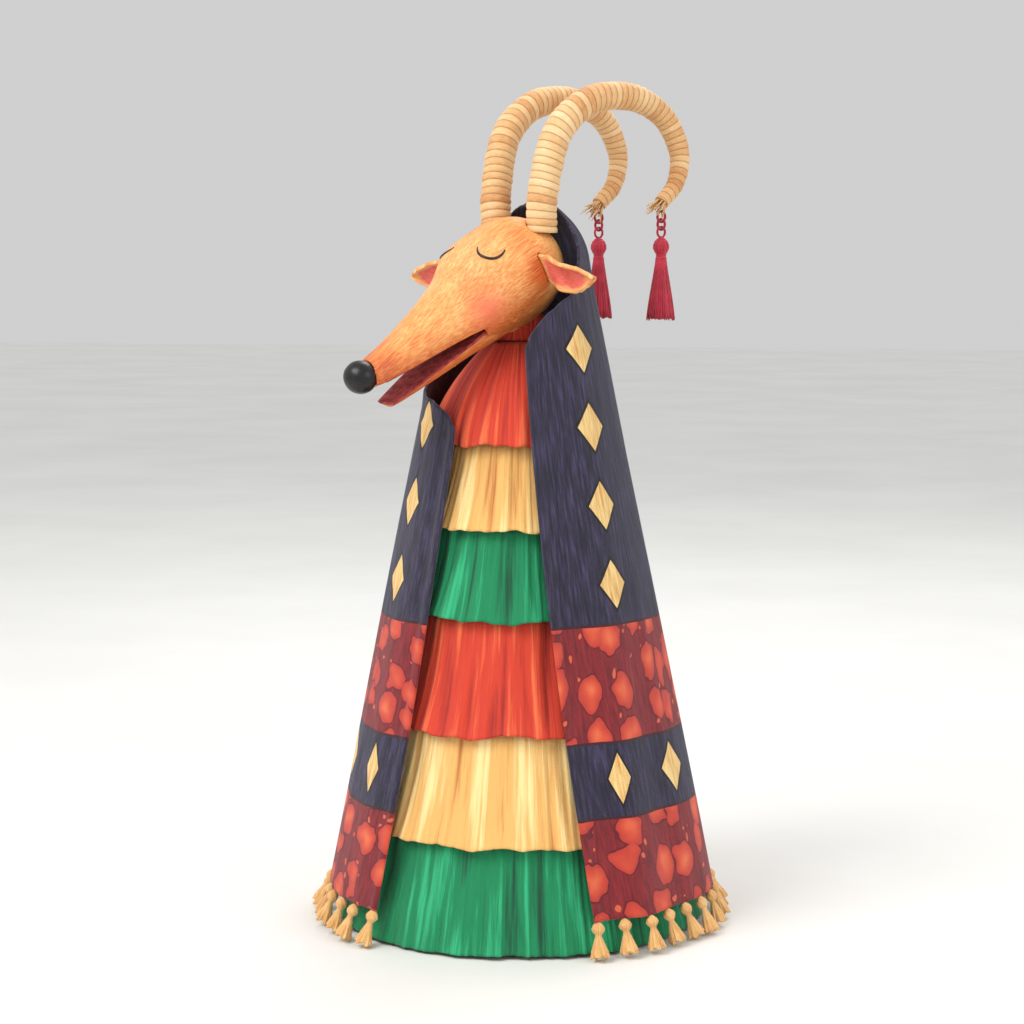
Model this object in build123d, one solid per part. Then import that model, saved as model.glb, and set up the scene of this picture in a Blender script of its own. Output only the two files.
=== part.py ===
from build123d import *
import math
import os

# Free-standing folk-craft caroling goat, about half a metre tall, in millimetres.
# A carved wooden goat head with a snapping lower jaw turns on a dowel pole. Straw-wrapped horns carry
# hanging tassels. The pole stands in a turned base, and laths and hoops carry six gathered cloth tiers
# and a banded shawl with a knotted fringe. Origin: centre of the base's underside, on the pole's axis.
# +Z is up and the body's open front faces -Y. The head is built turned towards the goat's right.

# ---- driving dimensions ----
BASE_R = 96.0
BASE_H = 15.0
BASE_EDGE = 3.0
POLE_R = 8.0
POLE_SEAT = 9.0            # depth of the pole's socket in the base
NECK_Z = 335.0             # top of the shoulder block
SHOULDER_H = 12.0
WASHER_H = 2.4
WASHER_RIM = 5.0           # how far the washer reaches past the pole
PEG_R = 5.5                # reduced top of the pole that the head turns on
PEG_LENGTH = 36.0
PEG_CLEARANCE = 0.08
NECK_STUB_R = 12.0         # carved stub under the skull that stands on the washer
NECK_STUB_H = 18.0
SCREW_R = 2.2
SCREW_HEAD_R = 4.6
SCREW_LENGTH = 30.0
SCREW_RECESS = 1.0

RIB_R = 2.0
RIB_COUNT = 6
RIB_INSET = 8.0            # from the base's rim in to the laths
RIB_WOOD = 2.6             # wood between the pole and a lath's upper end
SHOULDER_RIM = 2.9         # wood outside the laths' upper ends
RIB_BASE_RADIUS = BASE_R - RIB_INSET
RIB_TOP_RADIUS = POLE_R + RIB_WOOD + RIB_R
SHOULDER_R = RIB_TOP_RADIUS + RIB_R + SHOULDER_RIM
RIB_SEAT = 6.0             # depth of a lath's end in its hole
HOOP_R = 2.0               # half the thickness of a bent-wood hoop
HOOP_REST = 0.15           # between a hoop and the laths it is tied to

CLOTH = 2.0                # thickness of the cloth layers as solids
CAPE_TOP_Z = NECK_Z - 29.0     # the lowest place of the turning chin is above this
CAPE_TOP_R = 53.2
CAPE_HEM_Z = 21.0
CAPE_HEM_R = BASE_R + 15.0
CAPE_OPENING = 60.0        # angle of the open front, in degrees
TIER_UNDER_CAPE = 4.5      # how far a tier's hem stays inside the shawl's outer face
TIER_TUCK = 11.0           # the same under the hem of the tier above
TIER_OVERLAP = 10.0        # height that a tier reaches up behind the one above
TIER_BREAK = 14.0          # height of the gathered heading above a tier's fall
TIER_LOW_Z = 2.0           # lowest hem above the floor
TIER_PLACES = [0.8348, 0.6967, 0.5465, 0.3544, 0.1742, 0.0]   # hems, from the lowest one to the neck
TIER_HEMS = [TIER_LOW_Z + place * (NECK_Z - TIER_LOW_Z) for place in TIER_PLACES]
TIER_COLOURS = ["red", "cream", "green", "red", "cream", "green"]
TIER_1_TOP_R = SHOULDER_R + 3.0
BOTTOM_FLARE_R = CAPE_HEM_R + 2.0
BOTTOM_FLARE_Z = 22.0

FRINGE_COUNT = 36
FRINGE_KNOT_R = 3.7
FRINGE_SKIRT_R = 4.4
FRINGE_WAIST_R = 1.9
FRINGE_DROP = 17.0
FRINGE_LOW_Z = 1.6
FRINGE_SPLAY = 22.0        # tilt of each fringe tassel away from the skirt, in degrees

HEAD_TURN = -38.0          # about +Z, from facing -Y
HEAD_PITCH = 30.0          # nose down
HEAD_FORWARD = 8.0
HEAD_Z = NECK_Z + 44.0     # centre of the skull
# Sections of the whole head along its own forward axis: (forward, centre height, half height, half width)
HEAD_SECTIONS = [
    (-30, 2, 9, 10),
    (-23, 1, 20.5, 22),
    (-11, 0.5, 28.5, 30.5),
    (5, 0, 31, 33),
    (27, -1, 27.5, 29),
    (52, -1.5, 21, 22),
    (82, -1.5, 15, 16.5),
    (106, -0.5, 11, 12.5),
    (118, 1, 8.5, 10),
    (123, 2, 5.5, 7),
]
MOUTH_CORNER = (34.0, -11.5)
MOUTH_TIP = (126.0, -4.5)
CHEEK_END = 45.0           # forward end of the cheeks that cover the jaw's hinge
JAW_PIVOT = (28.0, -15.5)
JAW_PIN_R = 1.6
JAW_PIN_CLEARANCE = 0.08
JAW_KNUCKLE_R = 8.0
JAW_KNUCKLE_GAP = 0.7
JAW_SIDE_GAP = 0.6
JAW_HALF_WIDTH = 16.5
JAW_WIDTH_SHARE = 0.9      # of the muzzle's width
JAW_TIP = 114.0
JAW_OPEN = 8.0             # opening as built, in degrees
CHIN_ROOM = 6.0            # free space behind the chin for its swing
PIN_IN_CHEEK = 4.5
LINING = 1.4
PALATE_SHARE = 0.84
PALATE_TIP = 113.0
MOUTH_GAP = 0.3
NOSE_R = 9.6
NOSE_AT = (122.5, 3.5)     # forward, up

HORN_HALF_SPACING = 20.0
HORN_BASE_Z = HEAD_Z + 22.0
HORN_SOCKET_DEPTH = 40.0   # open at the top of the skull
HORN_SPLAY = 7.0           # outward lean at the far side of the curl
# Horn centreline: (backward, height above the horn's base, share of the splay)
HORN_ROUTE = [
    (-1.0, 0, 0.0),
    (-1.0, 22, 0.15),
    (7.5, 55, 0.4),
    (26, 73, 0.55),
    (47, 79, 0.7),
    (70, 77.5, 0.8),
    (90, 67, 0.9),
    (101, 48, 1.0),
    (98, 30, 1.05),
    (86, 18, 1.1),
]
HORN_RADII = [8.8, 8.6, 8.0, 6.6, 4.4]
HORN_CORE_R = 2.2
HORN_SOCKET_GAP = 0.15

EAR_LENGTH = 54.0
EAR_WIDTH = 22.0
EAR_THICK = 2.6
EAR_ROOT = 30.0            # sideways place of the ear's slot
EAR_DEPTH = 5.0
EAR_SWEEP = 10.0           # forward
EAR_DROOP = 12.0
EAR_UP = 3.0
EAR_TWIST = 28.0
EAR_GAP = 0.15
EAR_ROOT_SHARE = 0.55      # the leaf's width at its root
EAR_SLOT_SPREAD = 2.2      # the leaf widens by this much before it leaves the head

RING_R = 3.1
RING_WIRE = 0.75
RING_GAP = 0.2
TASSEL_BEAD_R = 4.6
TASSEL_NECK_R = 2.2
TASSEL_SKIRT_R = 8.6
TASSEL_SKIRT_H = 37.0
TASSEL_BEAD_H = 12.0       # from the ring down to the bound neck
TASSEL_KNOT_R = 1.4        # where the ring is tied on

HOOD_R = 38.5
HOOD_CENTRE_Z = HEAD_Z + 1.0
HOOD_LOW_GAP = 2.0         # height between the hood's lower edge and the shawl below it
# Front edge of the hood, from the top down: (forward, height). It passes behind the horns and ears.
HOOD_EDGE = [
    (-11.0, HOOD_CENTRE_Z + 50.0),
    (-11.0, HEAD_Z - 8.0),
    (29.0, HEAD_Z - 41.0),
    (29.0, CAPE_TOP_Z - 6.0),
]
BEYOND = 200.0             # reach of the shapes that cut, past everything that they cut

# ---- frames ----
turn = math.radians(HEAD_TURN)
pitch = math.radians(HEAD_PITCH)
forward = Vector(math.sin(turn), -math.cos(turn), 0)
left = Vector(math.cos(turn), math.sin(turn), 0)
up = Vector(0, 0, 1)
neck_frame = Plane(origin=(0, 0, 0), x_dir=forward, z_dir=up).location
head_centre = forward * HEAD_FORWARD + up * HEAD_Z
head_axis = forward * math.cos(pitch) - up * math.sin(pitch)
head_up = forward * math.sin(pitch) + up * math.cos(pitch)
head_frame = Plane(origin=head_centre, x_dir=head_axis, z_dir=head_up).location


def head_point(along, side, high):
    return head_centre + head_axis * along + left * side + head_up * high


def cape_radius(z):
    share = (CAPE_TOP_Z - z) / (CAPE_TOP_Z - CAPE_HEM_Z)
    return CAPE_TOP_R + share * (CAPE_HEM_R - CAPE_TOP_R)


def rib_radius(z):
    top = NECK_Z - SHOULDER_H
    return RIB_TOP_RADIUS + (RIB_BASE_RADIUS - RIB_TOP_RADIUS) * (top - z) / (top - BASE_H)


def turned(profile, arc=360.0, start=0.0):
    """A closed profile of (radius, height) points, turned about the pole's axis."""
    face = make_face(Polyline(*[(r, 0, z) for r, z in profile], close=True))
    return Rot(0, 0, start) * revolve(face, Axis.Z, revolution_arc=arc)


def cloth_shell(outer, arc=360.0, start=0.0, thick=CLOTH):
    """A cloth layer whose outer face passes through these (radius, height) points."""
    inner = [(r - thick, z) for r, z in reversed(outer)]
    return turned(outer + inner, arc, start)


def export(name, shape):
    export_step(shape, f"parts/{name}.step")


def rod(a, b, radius):
    line = Line(a, b)
    return sweep(Plane(origin=a, z_dir=line % 0) * Circle(radius), line)


# ---- stand ----
def rib_line(index):
    angle = math.radians(360.0 * (index + 0.5) / RIB_COUNT)
    low_z, high_z = BASE_H - RIB_SEAT, NECK_Z - SHOULDER_H + RIB_SEAT
    low_r, high_r = rib_radius(low_z), rib_radius(high_z)
    low = Vector(low_r * math.cos(angle), low_r * math.sin(angle), low_z)
    high = Vector(high_r * math.cos(angle), high_r * math.sin(angle), high_z)
    return low, high


def make_ribs():
    return [rod(*rib_line(i), RIB_R) for i in range(RIB_COUNT)]


def make_pole():
    shaft = Pos(0, 0, BASE_H - POLE_SEAT) * Cylinder(
        POLE_R, NECK_Z + WASHER_H - BASE_H + POLE_SEAT, align=(Align.CENTER, Align.CENTER, Align.MIN)
    )
    peg = Pos(0, 0, NECK_Z + WASHER_H) * Cylinder(
        PEG_R, PEG_LENGTH, align=(Align.CENTER, Align.CENTER, Align.MIN)
    )
    return shaft + peg - screw_shank()


def screw_shank():
    return Pos(0, 0, SCREW_RECESS) * Cylinder(
        SCREW_R, SCREW_LENGTH, align=(Align.CENTER, Align.CENTER, Align.MIN)
    )


def screw_head():
    height = SCREW_HEAD_R - SCREW_R
    return Pos(0, 0, SCREW_RECESS) * Cone(
        SCREW_HEAD_R, SCREW_R, height, align=(Align.CENTER, Align.CENTER, Align.MIN)
    )


def make_screw():
    slot = Pos(0, 0, SCREW_RECESS) * Box(2 * SCREW_HEAD_R, 1.0, 1.6)
    return screw_shank() + screw_head() - slot


def make_base(ribs, screw):
    profile = [
        (0, 0),
        (BASE_R, 0),
        (BASE_R, BASE_H - BASE_EDGE),
        (BASE_R - BASE_EDGE, BASE_H),
        (0, BASE_H),
    ]
    base = turned(profile)
    base -= Pos(0, 0, BASE_H - POLE_SEAT) * Cylinder(
        POLE_R, POLE_SEAT, align=(Align.CENTER, Align.CENTER, Align.MIN)
    )
    base -= screw_shank()
    base -= screw_head()
    base -= Cylinder(SCREW_HEAD_R, 2 * SCREW_RECESS)
    for rib in ribs:
        base -= rib
    return base


def make_shoulder(ribs):
    block = Pos(0, 0, NECK_Z - SHOULDER_H) * Cylinder(
        SHOULDER_R, SHOULDER_H, align=(Align.CENTER, Align.CENTER, Align.MIN)
    )
    block -= Cylinder(POLE_R, 2 * NECK_Z)
    for rib in ribs:
        block -= rib
    return block


def make_washer():
    ring = Pos(0, 0, NECK_Z) * Cylinder(POLE_R + WASHER_RIM, WASHER_H, align=(Align.CENTER, Align.CENTER, Align.MIN))
    return ring - Cylinder(POLE_R, 2 * NECK_Z + BEYOND)


def hoop_centre_radius(z):
    return rib_radius(z) + RIB_R + HOOP_R + HOOP_REST


def make_hoop(z):
    return Pos(0, 0, z) * Torus(hoop_centre_radius(z), HOOP_R)


# ---- cloth ----
def tier_tops():
    return [NECK_Z + 1.0] + [hem + TIER_OVERLAP for hem in TIER_HEMS[:-1]]


def make_tier(index):
    top, hem = tier_tops()[index], TIER_HEMS[index]
    if index == 0:
        outer = [(TIER_1_TOP_R, top), (cape_radius(hem) - TIER_UNDER_CAPE, hem)]
        return cloth_shell(outer)
    heading = hoop_centre_radius(top) + HOOP_R + RING_GAP + CLOTH
    fall_top = top - TIER_BREAK
    outer = [(heading, top), (cape_radius(fall_top) - TIER_TUCK, fall_top)]
    if index == len(TIER_HEMS) - 1:
        outer.append((cape_radius(BOTTOM_FLARE_Z) - TIER_UNDER_CAPE, BOTTOM_FLARE_Z))
        outer.append((BOTTOM_FLARE_R, hem))
    else:
        outer.append((cape_radius(hem) - TIER_UNDER_CAPE, hem))
    return cloth_shell(outer)


def make_cape():
    outer = [(CAPE_TOP_R, CAPE_TOP_Z), (CAPE_HEM_R, CAPE_HEM_Z)]
    return cloth_shell(outer, 360.0 - CAPE_OPENING, -90.0 + CAPE_OPENING / 2)


def make_fringe():
    """Knotted ends of the shawl's warp, evenly spread along its hem."""
    span = 360.0 - CAPE_OPENING
    step = span / FRINGE_COUNT
    waist = FRINGE_KNOT_R * 1.7
    profile = [
        (0, 0),
        (FRINGE_KNOT_R * 0.75, -FRINGE_KNOT_R * 0.35),
        (FRINGE_KNOT_R, -FRINGE_KNOT_R),
        (FRINGE_WAIST_R, -waist),
        (FRINGE_SKIRT_R, -FRINGE_DROP),
        (0, -FRINGE_DROP),
    ]
    tassel = turned(profile)
    drop = FRINGE_DROP * math.cos(math.radians(FRINGE_SPLAY))
    drop += FRINGE_SKIRT_R * math.sin(math.radians(FRINGE_SPLAY))
    hang_z = FRINGE_LOW_Z + drop
    found = []
    for i in range(FRINGE_COUNT):
        angle = -90.0 + CAPE_OPENING / 2 + step * (i + 0.5)
        place = Rot(0, 0, angle) * Pos(CAPE_HEM_R + CLOTH, 0, hang_z) * Rot(0, -FRINGE_SPLAY, 0)
        found.append(place * tassel)
    return Compound(children=found)


# ---- head ----
def whole_head(width_share=1.0):
    faces = []
    for along, centre, half_height, half_width in HEAD_SECTIONS:
        plane = Plane(origin=(along, 0, centre), x_dir=(0, 1, 0), z_dir=(1, 0, 0))
        faces.append(plane * Ellipse(half_width * width_share, half_height))
    return loft(faces)


def mouth_height(along):
    (x0, z0), (x1, z1) = MOUTH_CORNER, MOUTH_TIP
    return z0 + (z1 - z0) * (along - x0) / (x1 - x0)


def below_mouth(start, offset, half_width):
    """Everything under the mouth line, forward of start, lowered by offset."""
    end = MOUTH_TIP[0] + 20
    outline = Polyline(
        (start, 0, mouth_height(start) - offset),
        (end, 0, mouth_height(end) - offset),
        (end, 0, -BEYOND),
        (start, 0, -BEYOND),
        close=True,
    )
    return Pos(0, half_width, 0) * extrude(make_face(outline), 2 * half_width, dir=(0, -1, 0))


def ahead_of(along):
    """Everything forward of this place on the head's axis."""
    return Pos(along + BEYOND, 0, 0) * Box(2 * BEYOND, 2 * BEYOND, 2 * BEYOND)


def knuckle(radius, half_width):
    x, z = JAW_PIVOT
    return Pos(x, 0, z) * Rot(90, 0, 0) * Cylinder(radius, 2 * half_width)


def jaw_swing(degrees):
    """Turns a head-frame shape about the jaw's pin; positive lowers the chin."""
    x, z = JAW_PIVOT
    return Pos(x, 0, z) * Rot(0, degrees, 0) * Pos(-x, 0, -z)


def make_jaw_blank():
    """The jaw and its lining in one, closed."""
    x, _ = JAW_PIVOT
    body = whole_head(JAW_WIDTH_SHARE) & below_mouth(x, MOUTH_GAP, JAW_HALF_WIDTH)
    body -= ahead_of(JAW_TIP)
    body += knuckle(JAW_KNUCKLE_R, JAW_HALF_WIDTH)
    return body - knuckle(JAW_PIN_R + JAW_PIN_CLEARANCE, BEYOND)


def jaw_lining_region():
    start = CHEEK_END - 6
    return below_mouth(start, MOUTH_GAP, BEYOND) - below_mouth(start - 1, MOUTH_GAP + LINING, 2 * BEYOND)


def jaw_room():
    """What the head leaves free for the jaw over its whole travel."""
    x, z = JAW_PIVOT
    side = JAW_HALF_WIDTH + JAW_SIDE_GAP
    between_cheeks = below_mouth(x, 0, side)
    ahead = below_mouth(CHEEK_END, 0, BEYOND)
    socket = knuckle(JAW_KNUCKLE_R + JAW_KNUCKLE_GAP, side)
    behind_chin = Pos(x, 0, z) * Box(
        CHIN_ROOM, 2 * side, 60, align=(Align.MAX, Align.CENTER, Align.MAX)
    )
    return between_cheeks + ahead + socket + behind_chin


def make_palate():
    """Dark red cloth glued under the muzzle."""
    slab = below_mouth(CHEEK_END, -LINING, BEYOND) - below_mouth(CHEEK_END - 1, 0, 2 * BEYOND)
    palate = whole_head(PALATE_SHARE) & slab
    return palate - ahead_of(PALATE_TIP)


def horn_route(side):
    points = []
    for back, high, share in HORN_ROUTE:
        points.append(Vector(-back, side * (HORN_HALF_SPACING + HORN_SPLAY * share), HORN_BASE_Z + high))
    return Spline(*points, tangents=((0, 0, 1), (1, 0, -0.25)))


def make_horn(side):
    route = horn_route(side)
    last = len(HORN_RADII) - 1
    sections = []
    for i, radius in enumerate(HORN_RADII):
        at = i / last
        sections.append(Plane(origin=route @ at, z_dir=route % at) * Circle(radius))
    return sweep(sections, path=route, multisection=True, transition=Transition.RIGHT)


def make_horn_core(side):
    route = horn_route(side)
    return sweep(Plane(origin=route @ 0, z_dir=route % 0) * Circle(HORN_CORE_R), route)


def horn_socket(side):
    place = Pos(-HORN_ROUTE[0][0], side * HORN_HALF_SPACING, HORN_BASE_Z)
    hole = Cylinder(HORN_RADII[0] + HORN_SOCKET_GAP, HORN_SOCKET_DEPTH, align=(Align.CENTER, Align.CENTER, Align.MIN))
    return place * hole


def ear_place(side):
    sweep_angle = math.radians(EAR_SWEEP)
    droop = math.radians(EAR_DROOP)
    out = Vector(
        math.sin(sweep_angle) * math.cos(droop), side * math.cos(sweep_angle) * math.cos(droop), -math.sin(droop)
    )
    root = Vector(HEAD_FORWARD - 1, side * EAR_ROOT, HEAD_Z + EAR_UP)
    twist = math.radians(EAR_TWIST)
    face_way = Vector(math.cos(twist), 0, -math.sin(twist))
    normal = face_way - out * face_way.dot(out)
    return Plane(origin=root, x_dir=out, z_dir=normal).location


def make_ear(side):
    half = EAR_WIDTH / 2
    root = half * EAR_ROOT_SHARE
    edge = Spline((0, root), (EAR_LENGTH * 0.4, half), (EAR_LENGTH, 0), tangents=((1, 0.25), (0.35, -1)))
    lower = Spline((EAR_LENGTH, 0), (EAR_LENGTH * 0.4, -half), (0, -root), tangents=((-0.35, -1), (-1, 0.25)))
    tongue = Polyline((0, -root), (-EAR_DEPTH, -root), (-EAR_DEPTH, root), (0, root))
    leaf = extrude(make_face([edge, lower, tongue]), EAR_THICK)
    return ear_place(side) * leaf


def ear_slot(side):
    half = EAR_WIDTH / 2 * EAR_ROOT_SHARE + EAR_SLOT_SPREAD
    slot = Box(BEYOND, 2 * half, EAR_THICK + 2 * EAR_GAP, align=(Align.MIN, Align.CENTER, Align.MIN))
    return ear_place(side) * Pos(-EAR_DEPTH - EAR_GAP, 0, -EAR_GAP) * slot


def hood_solid(shrink):
    low_z = CAPE_TOP_Z + HOOD_LOW_GAP
    dome = Pos(0, 0, HOOD_CENTRE_Z) * Sphere(HOOD_R - shrink)
    above = Box(BEYOND, BEYOND, BEYOND, align=(Align.CENTER, Align.CENTER, Align.MIN))
    upper = dome & (Pos(0, 0, HOOD_CENTRE_Z) * above)
    profile = [
        (0, low_z),
        (CAPE_TOP_R - shrink, low_z),
        (HOOD_R - shrink, HOOD_CENTRE_Z),
        (0, HOOD_CENTRE_Z),
    ]
    return upper + turned(profile)


def make_hood():
    """The part of the shawl that goes over the back of the head and turns with it."""
    edge = [(x, 0, z) for x, z in HOOD_EDGE]
    front = Polyline(*edge, (BEYOND, 0, HOOD_EDGE[-1][1]), (BEYOND, 0, HOOD_EDGE[0][1]), close=True)
    opening = Pos(0, BEYOND, 0) * extrude(make_face(front), 2 * BEYOND, dir=(0, -1, 0))
    return hood_solid(0) - hood_solid(CLOTH) - opening


def make_head():
    block = whole_head()
    block = head_frame * block
    stub_z = NECK_Z + WASHER_H + PEG_CLEARANCE
    block += Pos(0, 0, stub_z) * Cylinder(
        NECK_STUB_R, NECK_STUB_H, align=(Align.CENTER, Align.CENTER, Align.MIN)
    )
    block -= head_frame * (jaw_room() + knuckle(JAW_PIN_R, BEYOND) + make_palate())
    block -= head_frame * (Pos(NOSE_AT[0], 0, NOSE_AT[1]) * Sphere(NOSE_R))
    for side in (1, -1):
        block -= neck_frame * horn_socket(side)
        block -= neck_frame * ear_slot(side)
    block -= Pos(0, 0, NECK_Z) * Cylinder(
        PEG_R + PEG_CLEARANCE, WASHER_H + PEG_LENGTH + 1, align=(Align.CENTER, Align.CENTER, Align.MIN)
    )
    return block


# ---- tassels ----
def ring(centre, normal):
    return Plane(origin=centre, z_dir=normal).location * Torus(RING_R, RING_WIRE)


RING_STEP = 2 * RING_R - 2 * RING_WIRE - RING_GAP   # between two linked rings' centres
horn_end = HORN_ROUTE[-1]


def tassel_top(side):
    """Centre of the horn tip's eye, below the horn's tip."""
    back, high, share = horn_end
    tip = forward * -back + left * side * (HORN_HALF_SPACING + HORN_SPLAY * share) + up * (HORN_BASE_Z + high)
    return tip - up * (HORN_RADII[-1] + RING_R + RING_WIRE + 0.05)


def make_tassel(side):
    """Eyelet, wound head and thread skirt, hanging from the middle ring."""
    centre = tassel_top(side) - up * (2 * RING_STEP)
    profile = [
        (0, -RING_R),
        (TASSEL_KNOT_R, -RING_R),
        (TASSEL_BEAD_R * 0.8, -RING_R - TASSEL_BEAD_H * 0.2),
        (TASSEL_BEAD_R, -RING_R - TASSEL_BEAD_H * 0.5),
        (TASSEL_BEAD_R * 0.8, -RING_R - TASSEL_BEAD_H * 0.8),
        (TASSEL_NECK_R, -RING_R - TASSEL_BEAD_H),
        (TASSEL_SKIRT_R, -RING_R - TASSEL_BEAD_H - TASSEL_SKIRT_H),
        (0, -RING_R - TASSEL_BEAD_H - TASSEL_SKIRT_H),
    ]
    return Pos(*centre) * turned(profile) + ring(centre, left)


# ---- build ----
os.makedirs("parts", exist_ok=True)

ribs = make_ribs()
screw = make_screw()
export("base_disc", make_base(ribs, screw))
export("base_screw", screw)
export("pole", make_pole())
export("shoulder_block", make_shoulder(ribs))
export("neck_washer", make_washer())
for number, rib in enumerate(ribs, 1):
    export(f"rib_lath_{number}", rib)
for number, top in enumerate(tier_tops()[1:], 2):
    export(f"hoop_{number}", make_hoop(top))
for index, colour in enumerate(TIER_COLOURS):
    export(f"tier_{index + 1}_{colour}", make_tier(index))
export("shawl_cape", make_cape())
export("shawl_fringe", make_fringe())
export("shawl_hood", neck_frame * make_hood())

export("head_block", make_head())
export("palate_lining", head_frame * make_palate())
export("nose", head_frame * (Pos(NOSE_AT[0], 0, NOSE_AT[1]) * Sphere(NOSE_R)))
pin_length = 2 * (JAW_HALF_WIDTH + PIN_IN_CHEEK)
export("jaw_pin", head_frame * knuckle(JAW_PIN_R, pin_length / 2))
blank = make_jaw_blank()
lining = blank & jaw_lining_region()
export("lower_jaw", head_frame * jaw_swing(JAW_OPEN) * (blank - jaw_lining_region()))
export("jaw_lining", head_frame * jaw_swing(JAW_OPEN) * lining)
for side, name in ((1, "left"), (-1, "right")):
    core = make_horn_core(side)
    export(f"{name}_horn", neck_frame * (make_horn(side) - core))
    export(f"{name}_horn_core", neck_frame * core)
    export(f"{name}_ear", neck_frame * make_ear(side))
    eye_at = tassel_top(side)
    export(f"{name}_horn_eye", ring(eye_at, left))
    export(f"{name}_tassel_ring", ring(eye_at - up * RING_STEP, forward))
    export(f"{name}_tassel", make_tassel(side))
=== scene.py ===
import math
import random

import bmesh
import bpy
from mathutils import Matrix, Vector, noise
from mathutils.bvhtree import BVHTree


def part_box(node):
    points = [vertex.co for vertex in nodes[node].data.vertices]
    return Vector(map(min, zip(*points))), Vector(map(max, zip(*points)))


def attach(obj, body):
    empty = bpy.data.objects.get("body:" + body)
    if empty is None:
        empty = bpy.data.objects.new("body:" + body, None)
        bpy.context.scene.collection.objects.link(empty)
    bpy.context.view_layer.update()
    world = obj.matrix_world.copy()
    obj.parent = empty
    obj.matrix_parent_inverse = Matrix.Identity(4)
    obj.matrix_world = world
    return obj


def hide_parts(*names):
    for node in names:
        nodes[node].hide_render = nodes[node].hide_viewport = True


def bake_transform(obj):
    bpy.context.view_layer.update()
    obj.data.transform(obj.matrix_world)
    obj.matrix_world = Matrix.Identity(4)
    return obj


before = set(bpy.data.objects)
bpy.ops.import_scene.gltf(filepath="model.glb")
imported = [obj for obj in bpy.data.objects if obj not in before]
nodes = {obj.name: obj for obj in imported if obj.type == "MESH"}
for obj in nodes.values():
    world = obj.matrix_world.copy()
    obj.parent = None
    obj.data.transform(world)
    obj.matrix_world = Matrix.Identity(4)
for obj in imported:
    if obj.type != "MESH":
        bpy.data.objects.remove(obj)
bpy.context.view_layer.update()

# Sizes below are in millimetres, as in the CAD, and mesh code turns them into metres.
MM = 0.001
CAPE_TOP_Z, CAPE_TOP_R = 306.0, 53.2
CAPE_HEM_Z, CAPE_HEM_R = 21.0, 111.0
CAPE_OPENING = 60.0
HOOD_R, HOOD_Z = 38.5, 380.0
TIER_HEMS = [280.0, 234.0, 184.0, 120.0, 60.0, 2.0]
TIER_NAMES = ["tier_1_red", "tier_2_cream", "tier_3_green", "tier_4_red", "tier_5_cream", "tier_6_green"]
NECK_Z = 335.0
HEAD_TURN, HEAD_PITCH = math.radians(-38.0), math.radians(30.0)
HEAD_FORWARD, HEAD_Z = 8.0, 379.0
HORN_HALF_SPACING, HORN_BASE_Z, HORN_SPLAY = 20.0, 401.0, 7.0
HORN_ROUTE = [
    (-1.0, 0, 0.0), (-1.0, 22, 0.15), (7.5, 55, 0.4), (26, 73, 0.55), (47, 79, 0.7),
    (70, 77.5, 0.8), (90, 67, 0.9), (101, 48, 1.0), (98, 30, 1.05), (86, 18, 1.1),
]
HORN_RADII = [8.8, 8.6, 8.0, 6.6, 4.4]
EAR_LENGTH = 54.0
EAR_ROOT, EAR_DEPTH = 30.0, 5.0
FRINGE_COUNT = 36
RING_R, RING_WIRE, RING_GAP = 3.1, 0.75, 0.2
RING_STEP = 2 * RING_R - 2 * RING_WIRE - RING_GAP

UP = Vector((0, 0, 1))
FORWARD = Vector((math.sin(HEAD_TURN), -math.cos(HEAD_TURN), 0))
LEFT = Vector((math.cos(HEAD_TURN), math.sin(HEAD_TURN), 0))
HEAD_CENTRE = FORWARD * HEAD_FORWARD + UP * HEAD_Z
HEAD_AXIS = FORWARD * math.cos(HEAD_PITCH) - UP * math.sin(HEAD_PITCH)
HEAD_UP = FORWARD * math.sin(HEAD_PITCH) + UP * math.cos(HEAD_PITCH)
rng = random.Random(7)


def head_point(along, side, high):
    return HEAD_CENTRE + HEAD_AXIS * along + LEFT * side + HEAD_UP * high


def neck_point(ahead, side, high):
    return FORWARD * ahead + LEFT * side + UP * high


def mix(a, b, t):
    return a + (b - a) * t


def smooth(t):
    t = min(max(t, 0.0), 1.0)
    return t * t * (3 - 2 * t)


def table(points, x):
    """Smooth value at x from (x, value) points in rising order."""
    if x <= points[0][0]:
        return points[0][1]
    for (x0, y0), (x1, y1) in zip(points, points[1:]):
        if x <= x1:
            return mix(y0, y1, smooth((x - x0) / (x1 - x0)))
    return points[-1][1]


# ---- meshes ----
def add_object(name, verts, faces, corners=None):
    mesh = bpy.data.meshes.new(name)
    mesh.from_pydata([v * MM for v in verts], [], faces)
    if corners:
        layer = mesh.uv_layers.new(name="UVMap")
        layer.data.foreach_set("uv", [x for pair in corners for x in pair])
    mesh.polygons.foreach_set("use_smooth", [True] * len(mesh.polygons))
    mesh.update()
    ob = bpy.data.objects.new(name, mesh)
    bpy.context.scene.collection.objects.link(ob)
    return ob


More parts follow.
